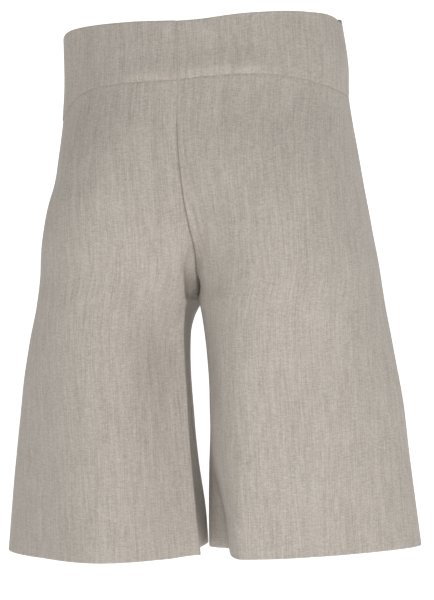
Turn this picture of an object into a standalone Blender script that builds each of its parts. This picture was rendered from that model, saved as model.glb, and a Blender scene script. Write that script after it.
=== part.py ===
"""Wide-leg bermuda shorts in plain linen, in the hollow form they keep when worn.

Metres, +Z up. The origin is the centre of the waist opening, the seat faces -Y
and the wearer's right side is at +X. Waist and hems are open.

The cloth follows horizontal sections. Half a section runs from the outseam round the
crest of the seat or thigh to the centre seam, or below the crotch to the inseam.
A place on the cloth is named by its share of that way, "along", and by its drop
below the top of the waistband.
"""

import math

import bmesh
import bpy
import numpy as np
from mathutils import Matrix

SIDES = {"left": -1.0, "right": 1.0}
FACES = {"back": -1.0, "front": 1.0}

# Cloth and seams
WALL = 0.0012              # one layer of linen with its seam allowances
BAND_PROUD = 0.0008        # the waistband is two layers, so it stands out of the panels
SEAM_GAP = 0.0003

# Drops below the top of the waistband
CROTCH = 0.309
HEM = {"left": 0.598, "right": 0.593}
BAND_DEPTH = 0.0650        # of the waistband, at the centre seams

HIP_TILT = 0.036           # rise towards +X, because the wearer stands with one hip higher

# Front closure
FLY_WIDTH = 0.036
FLY_LAP = 0.005            # how far the flap passes the centre front
FLY_BOTTOM = 0.200
FLY_CURVE = 0.040          # height of the rounded lower end
TAB_START = 0.020          # left of the centre front
TAB_END = 0.028            # right of it
BUTTON_RADIUS = 0.0085
BUTTON_RIM = 0.0014
BUTTON_HEIGHT = 0.0032
BUTTON_WELL = 0.0008
BUTTON_HOLE_RADIUS = 0.0009
BUTTON_HOLE_SPACING = 0.0034
BUTTON_DROP = 0.031
BUTTON_OUT = 0.013         # right of the centre front

# Mesh of the panels. Shares of a half section at which the columns stand, close where the folds are crisp
COLUMN_SHARES = (0.0, 0.09, 0.18, 0.27, 0.36, 0.45, 0.54, 0.61,
                 0.665, 0.70, 0.75, 0.80, 0.85, 0.895, 0.945, 1.0)
ROWS_EACH_WAY = 12         # above and below the crotch
ROW_CROWDING = 1.8         # rows crowd towards the crotch
BAND_ROWS = 4
CURVE_STEPS = 32           # straight bits that stand for each curve of a section
EVEN_DROPS = (0.0, 0.08, 0.16, 0.25, 0.37, 0.45, 0.53, 0.598)
DRAW_IN = 5                # columns follow the crotch curve only near the inner edge


def named_table(names, rows):
    """Columns of a short table, by name."""
    return dict(zip(names.split(), np.array(rows, dtype=float).T))


# The stance turns the waist and moves the middle of the garment to one side
STANCE = named_table("drop turn shift", (
    (0.000, -3.0, -0.0010),
    (0.060, -2.0, 0.0000),
    (0.110, -1.2, -0.0025),
    (0.180, 0.0, -0.0005),
    (0.235, 0.0, 0.0035),
    (0.280, 0.0, 0.0045),
    (0.314, 0.0, -0.0015),
    (0.450, 0.0, 0.0010),
    (0.598, 0.0, 0.0060),
))

# Distance of each outseam from the middle
OUTSEAM = named_table("drop left right", (
    (0.000, 0.1670, 0.1595),
    (0.050, 0.1655, 0.1655),
    (0.080, 0.1645, 0.1670),
    (0.110, 0.1635, 0.1725),
    (0.140, 0.1655, 0.1775),
    (0.170, 0.1705, 0.1815),
    (0.200, 0.1820, 0.1850),
    (0.230, 0.1905, 0.1885),
    (0.255, 0.1950, 0.1920),
    (0.280, 0.1965, 0.1970),
    (0.314, 0.1960, 0.2085),
    (0.350, 0.2030, 0.2180),
    (0.400, 0.2150, 0.2260),
    (0.500, 0.2320, 0.2360),
    (0.598, 0.2450, 0.2460),
))

# The crest is the point of a half section that stands furthest back or forward
CRESTS = {
    "back": named_table("drop left_out right_out left_depth right_depth", (
        (0.000, 0.000, 0.000, 0.104, 0.104),
        (0.080, 0.030, 0.030, 0.110, 0.110),
        (0.150, 0.070, 0.070, 0.121, 0.121),
        (0.220, 0.088, 0.088, 0.126, 0.126),
        (0.300, 0.094, 0.094, 0.122, 0.122),
        (0.314, 0.095, 0.095, 0.121, 0.121),
        (0.400, 0.100, 0.088, 0.117, 0.116),
        (0.500, 0.102, 0.084, 0.113, 0.110),
        (0.598, 0.102, 0.082, 0.110, 0.105),
    )),
    "front": named_table("drop left_out right_out left_depth right_depth", (
        (0.000, 0.000, 0.000, 0.098, 0.098),
        (0.080, 0.030, 0.030, 0.104, 0.104),
        (0.150, 0.062, 0.062, 0.108, 0.108),
        (0.220, 0.082, 0.082, 0.110, 0.110),
        (0.300, 0.096, 0.096, 0.108, 0.108),
        (0.314, 0.098, 0.098, 0.108, 0.108),
        (0.400, 0.104, 0.108, 0.106, 0.106),
        (0.598, 0.112, 0.118, 0.106, 0.104),
    )),
}

# Handle lengths of the two curves of a half section: cloth hangs flatter further down
FULLNESS = named_table("drop left_outer right_outer back_left back_right front_left front_right", (
    (0.000, 0.55, 0.55, 0.55, 0.55, 0.55, 0.55),
    (0.220, 0.55, 0.55, 0.55, 0.55, 0.55, 0.55),
    (0.314, 0.52, 0.51, 0.50, 0.55, 0.50, 0.55),
    (0.400, 0.45, 0.43, 0.48, 0.56, 0.44, 0.50),
    (0.500, 0.38, 0.36, 0.46, 0.58, 0.42, 0.50),
    (0.598, 0.34, 0.32, 0.46, 0.60, 0.42, 0.50),
))

# Where the round of the leg would end. Above the crotch that is past the middle, where
# the two halves meet in the centre seam.
ROUND_END = named_table("drop back_left back_right front_left front_right", (
    (0.000, -0.166, -0.166, -0.166, -0.166),
    (0.080, -0.160, -0.160, -0.162, -0.162),
    (0.150, -0.128, -0.128, -0.140, -0.140),
    (0.206, -0.076, -0.076, -0.100, -0.100),
    (0.246, -0.032, -0.032, -0.056, -0.056),
    (0.280, -0.010, -0.010, -0.022, -0.022),
    (0.300, -0.002, -0.002, -0.005, -0.005),
    (0.309, 0.000, 0.000, 0.000, 0.000),
    (0.340, 0.003, 0.006, 0.014, 0.006),
    (0.400, 0.004, 0.010, 0.019, 0.012),
    (0.450, 0.003, 0.008, 0.017, 0.013),
    (0.500, -0.001, 0.001, 0.014, 0.008),
    (0.598, -0.008, -0.002, 0.006, 0.005),
))

# The inseam, which draws the cloth beside it out from the middle below the crotch
INSEAM = named_table("drop left right forward", (
    (0.309, 0.0000, 0.0000, -0.010),
    (0.316, 0.0080, 0.0018, -0.006),
    (0.325, 0.0135, 0.0042, -0.001),
    (0.340, 0.0168, 0.0066, 0.004),
    (0.360, 0.0180, 0.0090, 0.008),
    (0.400, 0.0200, 0.0115, 0.010),
    (0.450, 0.0190, 0.0100, 0.010),
    (0.500, 0.0140, 0.0045, 0.008),
    (0.550, 0.0065, 0.0015, 0.005),
    (0.598, 0.0045, 0.0000, 0.005),
))
INSEAM_REACH = 0.055

# At the inner hem of the right leg the back is folded in. Its section there leaves the
# plain round by these distances, at shares of the way from the crest to the inseam.
FOLDED_IN = named_table("share out forward", (
    (0.00, 0.0000, 0.0000),
    (0.15, 0.0009, -0.0035),
    (0.24, 0.0042, 0.0015),
    (0.30, 0.0072, 0.0052),
    (0.50, 0.0177, 0.0133),
    (0.66, 0.0236, 0.0160),
    (0.72, 0.0232, 0.0162),
    (0.82, 0.0118, 0.0059),
    (0.89, 0.0036, 0.0004),
    (0.95, 0.0005, -0.0010),
    (1.00, 0.0000, 0.0000),
))
FOLDED_IN_BY = named_table("drop share", (
    (0.000, 0.00),
    (0.400, 0.00),
    (0.435, 0.00),
    (0.480, 0.20),
    (0.520, 0.60),
    (0.560, 0.90),
    (0.598, 1.00),
))

# Edges of the waistband: its top stands a little higher over each hip, and its seam dips
# to the outseams
BAND_EDGES = named_table("along top_left top_right seam_left seam_right", (
    (0.00, 0.0035, 0.0035, 0.0985, 0.0855),
    (0.10, 0.0025, -0.0020, 0.0985, 0.0815),
    (0.20, -0.0005, -0.0045, 0.0970, 0.0768),
    (0.27, -0.0022, -0.0050, 0.0930, 0.0735),
    (0.31, -0.0028, -0.0055, 0.0865, 0.0716),
    (0.36, -0.0031, -0.0058, 0.0785, 0.0692),
    (0.45, -0.0034, -0.0058, 0.0710, 0.0660),
    (0.54, -0.0034, -0.0052, 0.0672, 0.0635),
    (0.65, -0.0030, -0.0042, 0.0658, 0.0622),
    (0.75, -0.0026, -0.0024, 0.0650, 0.0622),
    (0.87, -0.0014, 0.0000, 0.0650, 0.0633),
    (1.00, 0.0000, 0.0004, 0.0650, 0.0650),
))

# Largest folds. A ridge stands out of the section, a trough has a negative depth.
FOLDS = {
    ("left", "back"): named_table("top bottom top_along bottom_along width depth", (
        (0.240, 0.700, 0.875, 0.845, 0.013, 0.006),
        (0.200, 0.700, 0.735, 0.740, 0.020, -0.005),
        (0.310, 0.700, 0.360, 0.370, 0.028, -0.005),
    )),
    ("right", "back"): named_table("top bottom top_along bottom_along width depth", (
        (0.100, 0.700, 0.720, 0.570, 0.022, 0.003),
        (0.170, 0.470, 0.860, 0.760, 0.018, -0.003),
    )),
    ("left", "front"): named_table("top bottom top_along bottom_along width depth", (
        (0.260, 0.700, 0.550, 0.600, 0.024, -0.006),
        (0.320, 0.700, 0.800, 0.820, 0.018, 0.005),
    )),
    ("right", "front"): named_table("top bottom top_along bottom_along width depth", (
        (0.240, 0.700, 0.600, 0.560, 0.024, -0.005),
        (0.340, 0.700, 0.260, 0.220, 0.020, -0.005),
    )),
}
FOLD_FADE = 0.090          # length over which a fold comes up and dies out
SEAM_HOLD = 0.014          # distance from a seam within which it holds the cloth flat


def smooth(table, name, at, by="drop"):
    """One column of a table at any place, on a smooth curve through its rows."""
    places = table[by]
    values = table[name]
    slopes = np.gradient(values, places)
    first = np.clip(np.searchsorted(places, at, side="right") - 1, 0, len(places) - 2)
    span = places[first + 1] - places[first]
    t = np.clip((at - places[first]) / span, 0.0, 1.0)
    start = values[first] * (2 * t**3 - 3 * t**2 + 1) + slopes[first] * span * (t**3 - 2 * t**2 + t)
    end = values[first + 1] * (3 * t**2 - 2 * t**3) + slopes[first + 1] * span * (t**3 - t**2)
    return start + end


def ease(t):
    """0 to 1 with a level start and end."""
    t = np.clip(t, 0.0, 1.0)
    return t * t * (3.0 - 2.0 * t)


def curve(start, start_handle, end_handle, end):
    """Cubic curves between many pairs of points, as rows of short straight bits."""
    t = np.linspace(0.0, 1.0, CURVE_STEPS + 1)[None, :, None]
    start, start_handle, end_handle, end = (
        np.stack(p, axis=-1)[:, None, :] for p in (start, start_handle, end_handle, end))
    return ((1 - t)**3 * start + 3 * t * (1 - t)**2 * start_handle
            + 3 * t**2 * (1 - t) * end_handle + t**3 * end)


def half_sections(side, face, drop):
    """Outlines from the outseam to the inner edge, one for each drop, before folds."""
    toward = FACES[face]
    outer_x = smooth(OUTSEAM, side, drop)
    crest_x = smooth(CRESTS[face], side + "_out", drop)
    crest_y = toward * smooth(CRESTS[face], side + "_depth", drop)
    inner_x = smooth(ROUND_END, f"{face}_{side}", drop)
    pull = np.where(drop > CROTCH, smooth(INSEAM, side, drop) - inner_x, 0.0)
    inner_y = smooth(INSEAM, "forward", drop)
    outer_full = smooth(FULLNESS, side + "_outer", drop)
    inner_full = smooth(FULLNESS, f"{face}_{side}", drop)
    outer_curve = curve(
        (outer_x, np.zeros_like(drop)),
        (outer_x, outer_full * crest_y),
        (crest_x + outer_full * (outer_x - crest_x), crest_y),
        (crest_x, crest_y))
    inner_curve = curve(
        (crest_x, crest_y),
        (crest_x - inner_full * (crest_x - inner_x), crest_y),
        (inner_x, inner_y + inner_full * (crest_y - inner_y)),
        (inner_x, inner_y))
    if (side, face) == ("right", "back"):
        share = np.linspace(0.0, 1.0, CURVE_STEPS + 1)
        leave = np.stack([smooth(FOLDED_IN, name, share, "share") for name in ("out", "forward")], axis=-1)
        inner_curve += smooth(FOLDED_IN_BY, "share", drop)[:, None, None] * leave
    outline = np.concatenate((outer_curve, inner_curve[:, 1:]), axis=1)
    run = run_along(outline)
    outline[:, :, 0] += pull[:, None] * ease(1.0 - (run[:, -1:] - run) / INSEAM_REACH)
    return outline


def run_along(outline):
    """Length run at each point of the outlines."""
    steps = np.linalg.norm(np.diff(outline, axis=1), axis=2)
    return np.concatenate((np.zeros((len(outline), 1)), np.cumsum(steps, axis=1)), axis=1)


def runs(outline):
    """Length run at each point of the outlines, and the length up to the middle."""
    run = run_along(outline)
    x = outline[:, :, 0]
    row = np.arange(len(outline))
    crosses = (x < SEAM_GAP / 2).any(axis=1)
    past = np.where(crosses, (x < SEAM_GAP / 2).argmax(axis=1), x.shape[1] - 1)
    before = past - 1
    share = np.where(crosses, (x[row, before] - SEAM_GAP / 2) / (x[row, before] - x[row, past]), 1.0)
    return run, run[row, before] + (run[row, past] - run[row, before]) * share


def even_length(side, face, drop):
    """Length of the half sections without the jump that the crotch brings."""
    places = np.array(EVEN_DROPS)
    lengths = runs(half_sections(side, face, places))[1]
    return smooth({"drop": places, "length": lengths}, "length", drop)


def fold_height(side, face, along, length, drop):
    """How far the folds move the cloth out of its section."""
    folds = FOLDS[side, face]
    total = np.zeros_like(drop)
    for row in range(len(folds["top"])):
        fold = {name: values[row] for name, values in folds.items()}
        down = (drop - fold["top"]) / (fold["bottom"] - fold["top"])
        centre = fold["top_along"] + (fold["bottom_along"] - fold["top_along"]) * np.clip(down, 0, 1)
        away = (along - centre) * length / fold["width"]
        fade = ease((drop - fold["top"]) / FOLD_FADE) * ease((fold["bottom"] - drop) / FOLD_FADE)
        total += fold["depth"] * fade * np.exp(-away**2)
    return total * ease(along * length / SEAM_HOLD) * ease((1.0 - along) * length / SEAM_HOLD)


def stand(x, y, drop):
    """Points in the stance of the wearer."""
    angle = np.radians(smooth(STANCE, "turn", drop))
    turned_x = x * np.cos(angle) - y * np.sin(angle)
    turned_y = x * np.sin(angle) + y * np.cos(angle)
    shift = smooth(STANCE, "shift", drop)
    return np.stack((turned_x + shift, turned_y, HIP_TILT * turned_x - drop), axis=-1)


def cloth(side, face, along, drop):
    """Points on the cloth, and the direction of its section at each."""
    along, drop = np.broadcast_arrays(np.asarray(along, float), np.asarray(drop, float))
    shape = drop.shape
    along, drop = along.ravel(), drop.ravel()
    outline = half_sections(side, face, drop)
    run, length = runs(outline)
    along = np.clip(along, 0.0, 1.0)
    even = even_length(side, face, drop)
    wanted = along * even + (length - even) * along**DRAW_IN
    first = np.clip((run <= wanted[:, None]).sum(axis=1) - 1, 0, run.shape[1] - 2)
    row = np.arange(len(drop))
    share = ((wanted - run[row, first]) / (run[row, first + 1] - run[row, first]))[:, None]
    tangents = np.gradient(outline, axis=1, edge_order=2)
    tangent = tangents[row, first] * (1 - share) + tangents[row, first + 1] * share
    tangent /= np.linalg.norm(tangent, axis=1)[:, None]
    point = outline[row, first] * (1 - share) + outline[row, first + 1] * share
    out = np.stack((tangent[:, 1], -tangent[:, 0]), axis=1) * FACES[face]
    point = point + out * fold_height(side, face, along, length, drop)[:, None]
    point[:, 0] *= SIDES[side]
    tangent[:, 0] *= SIDES[side]
    place = stand(point[:, 0], point[:, 1], drop)
    ahead = stand(point[:, 0] + tangent[:, 0] * SEAM_GAP, point[:, 1] + tangent[:, 1] * SEAM_GAP, drop)
    heading = (ahead - place) / np.linalg.norm(ahead - place, axis=1)[:, None]
    return place.reshape(*shape, 3), heading.reshape(*shape, 3)


def band_edge(edge, side, along):
    """Drop of the top or of the seam of the waistband."""
    return smooth(BAND_EDGES, f"{edge}_{side}", along, "along")


def outward(points, headings, sign):
    """Directions straight out of a grid of cloth, square to the seams at its edges."""
    across = np.gradient(points, axis=1)
    down = np.gradient(points, axis=0)
    normals = np.cross(across, down) * sign
    for column in (0, -1):
        heading = headings[:, column]
        lean = (normals[:, column] * heading).sum(axis=1)[:, None]
        normals[:, column] -= lean * heading
    return normals / np.linalg.norm(normals, axis=2)[:, :, None]


def wall_object(name, outer, inner, material, outside_first):
    """A closed wall of cloth between two grids of points."""
    rows, columns = outer.shape[:2]
    mesh = bmesh.new()
    grids = []
    for points in (outer, inner):
        grids.append([[mesh.verts.new(points[r, c]) for c in range(columns)] for r in range(rows)])
    faces = []
    for r in range(rows - 1):
        for c in range(columns - 1):
            corners = ((r, c), (r + 1, c), (r + 1, c + 1), (r, c + 1))
            falling = np.linalg.norm(outer[corners[0]] - outer[corners[2]])
            rising = np.linalg.norm(outer[corners[1]] - outer[corners[3]])
            halves = ((0, 1, 2), (0, 2, 3)) if falling < rising else ((0, 1, 3), (1, 2, 3))
            for half in halves:
                faces.append([grids[0][corners[i][0]][corners[i][1]] for i in half])
                faces.append([grids[1][corners[i][0]][corners[i][1]] for i in half[::-1]])
    rim = [(0, c) for c in range(columns)]
    rim += [(r, columns - 1) for r in range(1, rows)]
    rim += [(rows - 1, c) for c in range(columns - 2, -1, -1)]
    rim += [(r, 0) for r in range(rows - 2, 0, -1)]
    for (r, c), (next_r, next_c) in zip(rim, rim[1:] + rim[:1]):
        faces.append([grids[0][r][c], grids[0][next_r][next_c],
                      grids[1][next_r][next_c], grids[1][r][c]])
    for loop in faces:
        mesh.faces.new(loop if outside_first else loop[::-1])
    return finish_object(name, mesh, material)


def finish_object(name, mesh, material):
    """A smooth-shaded object from a bmesh."""
    data = bpy.data.meshes.new(name)
    mesh.to_mesh(data)
    mesh.free()
    data.shade_smooth()
    data.set_sharp_from_angle(angle=math.radians(35))
    data.materials.append(material)
    item = bpy.data.objects.new(name, data)
    bpy.context.scene.collection.objects.link(item)
    return item


def plain_material(name, colour, roughness):
    """A Principled material with no metal in it."""
    material = bpy.data.materials.new(name)
    material.use_nodes = True
    shader = material.node_tree.nodes["Principled BSDF"]
    shader.inputs["Base Color"].default_value = (*colour, 1.0)
    shader.inputs["Roughness"].default_value = roughness
    shader.inputs["Metallic"].default_value = 0.0
    return material


def half_length(side, face, drop):
    """Length of a half section at one drop."""
    return runs(half_sections(side, face, np.atleast_1d(float(drop))))[1][0]


def seam_shares(side, face, drop):
    """Shares of a section between two seams, each edge half a seam gap short."""
    trim = SEAM_GAP / 2 / half_length(side, face, drop)
    return np.clip(COLUMN_SHARES, trim, 1.0 - trim)


def make_panel(side, face, material):
    """One leg panel, from the waistband seam to the hem."""
    hem = HEM[side]
    along = seam_shares(side, face, hem)[None, :]
    seam = BAND_DEPTH + SEAM_GAP
    t = np.linspace(0.0, 1.0, ROWS_EACH_WAY + 1) ** ROW_CROWDING
    above = (CROTCH - (CROTCH - seam) * t)[::-1]
    below = (CROTCH + (hem - CROTCH) * t)[1:]
    share = ((np.concatenate((above, below)) - seam) / (hem - seam))[:, None]
    top = band_edge("seam", side, along) + SEAM_GAP
    points, headings = cloth(side, face, along, top + (hem - top) * share)
    sign = -SIDES[side] * FACES[face]
    inner = points - WALL * outward(points, headings, sign)
    return wall_object(f"{face}_{side}", points, inner, material, sign < 0)


def half_waistband(side):
    """Places on one half of the waistband, centre back to centre front, by face."""
    back = seam_shares(side, "back", 0.0)[::-1]
    front = seam_shares(side, "front", 0.0)
    back[-1] = 0.0
    return {"back": back, "front": front[1:]}


def make_waistband(side, material):
    """One half of the waistband, from the centre back round to the centre front."""
    share = np.linspace(0.0, 1.0, BAND_ROWS + 1)[:, None]
    stretches = []
    for face, along in half_waistband(side).items():
        top = band_edge("top", side, along[None, :])
        drop = top + (band_edge("seam", side, along[None, :]) - top) * share
        stretches.append(cloth(side, face, along[None, :], drop))
    points = np.concatenate([points for points, _ in stretches], axis=1)
    headings = np.concatenate([headings for _, headings in stretches], axis=1)
    sign = SIDES[side] * -1.0
    out = outward(points, headings, sign)
    return wall_object(f"waistband_{side}", points + BAND_PROUD * out, points - WALL * out,
                       material, sign < 0)


def across_front(drop, start, end, columns):
    """Points on the front from the wearer's left of the centre seam to the right of it."""
    rows = []
    for row_drop, row_start, row_end in zip(drop, start, end):
        places = np.linspace(-row_start, row_end, columns + 1)
        row = []
        for place in places:
            side = "left" if place < 0 else "right"
            along = 1.0 - abs(place) / half_length(side, "front", row_drop)
            row.append(cloth(side, "front", along, row_drop)[0])
        rows.append(row)
    return np.array(rows)


def laid_on_front(name, drop, start, end, lift, thickness, columns, material):
    """A strip of cloth that lies on the front, made from the front's own points."""
    points = across_front(drop, start, end, columns)
    normals = np.cross(np.gradient(points, axis=1), np.gradient(points, axis=0))
    normals /= np.linalg.norm(normals, axis=2)[:, :, None]
    low = points + lift * normals
    return wall_object(name, low + thickness * normals, low, material, False)


def make_fly(material):
    """The lapped edge of the fly, straight down and then rounded in to the centre seam."""
    top = BAND_DEPTH + 2 * SEAM_GAP
    curve_top = FLY_BOTTOM - FLY_CURVE
    straight = np.linspace(top, curve_top, 6)
    angle = np.linspace(0.0, math.pi / 2, 8)[1:]
    rounded = curve_top + FLY_CURVE * np.sin(angle)
    start = np.concatenate((np.full(len(straight), FLY_WIDTH), FLY_WIDTH * np.cos(angle)))
    drop = np.concatenate((straight, rounded))
    end = np.full(len(drop), FLY_LAP)
    return laid_on_front("fly_flap", drop, start, end, SEAM_GAP, WALL, 8, material)


def make_tab(material):
    """The end of the waistband that laps over at the centre front."""
    drop = np.linspace(SEAM_GAP, BAND_DEPTH, 5)
    start = np.full(len(drop), TAB_START)
    end = np.full(len(drop), TAB_END)
    lift = BAND_PROUD + 2 * SEAM_GAP
    return laid_on_front("waistband_tab", drop, start, end, lift, WALL + BAND_PROUD, 8, material)


def make_button(material):
    """A four-hole button with a raised rim, sewn flat on the tab."""
    profile = (
        (0.0, 0.0), (BUTTON_RADIUS - BUTTON_RIM, 0.0), (BUTTON_RADIUS, BUTTON_HEIGHT * 0.4),
        (BUTTON_RADIUS, BUTTON_HEIGHT * 0.75), (BUTTON_RADIUS - BUTTON_RIM / 2, BUTTON_HEIGHT),
        (BUTTON_RADIUS - BUTTON_RIM, BUTTON_HEIGHT - BUTTON_WELL / 2),
        (BUTTON_RADIUS - 2 * BUTTON_RIM, BUTTON_HEIGHT - BUTTON_WELL), (0.0, BUTTON_HEIGHT - BUTTON_WELL))
    mesh = bmesh.new()
    verts = [mesh.verts.new((r, 0.0, z)) for r, z in profile]
    edges = [mesh.edges.new(pair) for pair in zip(verts, verts[1:])]
    bmesh.ops.spin(mesh, geom=verts + edges, cent=(0, 0, 0), axis=(0, 0, 1),
                   angle=math.tau, steps=32, use_duplicate=False)
    bmesh.ops.remove_doubles(mesh, verts=mesh.verts, dist=1e-6)
    bmesh.ops.recalc_face_normals(mesh, faces=mesh.faces)
    button = finish_object("waist_button", mesh, material)
    for index in range(4):
        angle = math.pi / 4 + index * math.pi / 2
        hole = bpy.data.meshes.new("button_hole")
        cutter = bmesh.new()
        bmesh.ops.create_cone(cutter, cap_ends=True, segments=12, radius1=BUTTON_HOLE_RADIUS,
                              radius2=BUTTON_HOLE_RADIUS, depth=BUTTON_HEIGHT * 3)
        reach = BUTTON_HOLE_SPACING / math.sqrt(2)
        bmesh.ops.translate(cutter, verts=cutter.verts,
                            vec=(reach * math.cos(angle), reach * math.sin(angle), 0.0))
        cutter.to_mesh(hole)
        cutter.free()
        tool = bpy.data.objects.new(f"button_hole_{index}", hole)
        tool.hide_render = True
        tool.display_type = "WIRE"
        tool.parent = button
        bpy.context.scene.collection.objects.link(tool)
        cut = button.modifiers.new(f"hole_{index}", "BOOLEAN")
        cut.operation = "DIFFERENCE"
        cut.solver = "EXACT"
        cut.object = tool
    along = 1.0 - BUTTON_OUT / half_length("right", "front", BUTTON_DROP)
    spot, across = cloth("right", "front", along, BUTTON_DROP)
    below = cloth("right", "front", along, BUTTON_DROP + BUTTON_RADIUS)[0]
    down = (below - spot) / np.linalg.norm(below - spot)
    normal = np.cross(down, across)
    normal /= np.linalg.norm(normal)
    sideways = np.cross(down, normal)
    place = spot + normal * (2 * BAND_PROUD + WALL + 3 * SEAM_GAP)
    frame = Matrix.Identity(4)
    for axis, direction in enumerate((sideways, down, normal, place)):
        frame.col[axis][:3] = direction
    button.matrix_world = frame
    return button


def main():
    for item in list(bpy.data.objects):
        bpy.data.objects.remove(item, do_unlink=True)
    linen = plain_material("linen", (0.42, 0.38, 0.33), 0.85)
    button_material = plain_material("button", (0.30, 0.24, 0.18), 0.35)
    for side in SIDES:
        for face in FACES:
            make_panel(side, face, linen)
        make_waistband(side, linen)
    make_fly(linen)
    make_tab(linen)
    make_button(button_material)


main()
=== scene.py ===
"""Looks of wide-leg linen bermuda shorts, in the hollow form they keep when worn.

Metres, +Z up. The origin is the centre of the waist opening, the seat faces -Y and the
wearer's right side is at +X. The cloth shells are built on the same horizontal sections
as the solids that they stand for.
"""

import math

import bmesh
import bpy
import numpy as np
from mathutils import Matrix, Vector


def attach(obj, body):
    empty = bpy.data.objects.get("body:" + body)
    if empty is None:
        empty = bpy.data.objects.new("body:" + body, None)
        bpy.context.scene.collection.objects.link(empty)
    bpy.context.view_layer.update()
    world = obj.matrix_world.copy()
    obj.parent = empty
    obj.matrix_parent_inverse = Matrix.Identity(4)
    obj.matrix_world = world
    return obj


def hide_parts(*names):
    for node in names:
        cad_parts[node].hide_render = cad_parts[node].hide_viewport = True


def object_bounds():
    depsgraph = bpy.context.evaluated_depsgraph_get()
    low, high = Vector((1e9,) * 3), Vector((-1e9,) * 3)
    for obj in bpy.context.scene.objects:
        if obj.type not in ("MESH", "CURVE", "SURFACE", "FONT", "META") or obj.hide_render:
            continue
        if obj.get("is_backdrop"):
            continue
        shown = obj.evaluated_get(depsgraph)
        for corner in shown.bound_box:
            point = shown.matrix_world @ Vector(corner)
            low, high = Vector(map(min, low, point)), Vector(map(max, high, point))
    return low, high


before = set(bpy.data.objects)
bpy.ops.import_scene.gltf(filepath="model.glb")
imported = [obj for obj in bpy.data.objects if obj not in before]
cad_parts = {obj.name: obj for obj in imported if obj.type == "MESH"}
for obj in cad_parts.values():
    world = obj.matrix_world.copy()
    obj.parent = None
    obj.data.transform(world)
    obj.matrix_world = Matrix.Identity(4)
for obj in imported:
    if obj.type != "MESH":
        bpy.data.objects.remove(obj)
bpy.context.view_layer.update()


# ---- Linen -------------------------------------------------------------------------------
# Washed, undyed linen in plain weave. The flax is spun uneven, so single yarns run
# thicker and paler for a few centimetres, along the legs and across them.

def linear(hex_colour):
    """sRGB hex to the linear colour that shaders take."""
    parts = [int(hex_colour[i:i + 2], 16) / 255 for i in (0, 2, 4)]
    return (*[c / 12.92 if c <= 0.04045 else ((c + 0.055) / 1.055) ** 2.4 for c in parts], 1.0)


def add_node(tree, kind, links=(), outputs=None, **settings):
    """A shader node with its settings. links are (input, source socket or constant)."""
    made = tree.nodes.new(kind)
    for name, value in settings.items():
        setattr(made, name, value)
    for name, source in links:
        if isinstance(source, bpy.types.NodeSocket):
            tree.links.new(source, made.inputs[name])
        else:
            made.inputs[name].default_value = source
    return made


def new_material(name):
    """An empty Principled material: its tree and its shader."""
    material = bpy.data.materials.new(name)
    material.use_nodes = True
    tree = material.node_tree
    return material, tree, tree.nodes["Principled BSDF"]


LINEN_BASE = "b0a89f"
LINEN_DARK = "98918a"
LINEN_PALE = "c6bfb7"
YARN_PITCH = 0.00085       # 12 yarns to the centimetre, a coarse suiting linen
SLUB_WIDTH = 0.0011
SLUB_LENGTH = 0.026
GRAIN = 0.0012             # knots and hairs of the yarn, drawn a little coarser than real
WEAVE_DEPTH = 0.00012
WEAVE_TONE = 0.10
WEAVE_HEIGHT = 0.5         # shares of the depth: the weave, and the slubs of the warp
SLUB_HEIGHT = 1.2
# Patterns of the uneven yarns: size along and down in metres, fineness, place in the
# noise, and how much each moves the tone between the dark and the pale linen
YARN_PATTERNS = {
    "warp_slubs": (SLUB_WIDTH, SLUB_LENGTH, 1.0, 1.7, 0.85),
    "weft_slubs": (SLUB_LENGTH * 0.25, SLUB_WIDTH, 1.0, 7.3, 0.68),
    "grain": (GRAIN, GRAIN, 1.0, 9.4, 1.05),
    "bands": (0.006, 0.120, 2.0, 3.1, 0.45),
    "clouds": (0.035, 0.045, 3.0, 5.9, 0.25),
}


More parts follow.
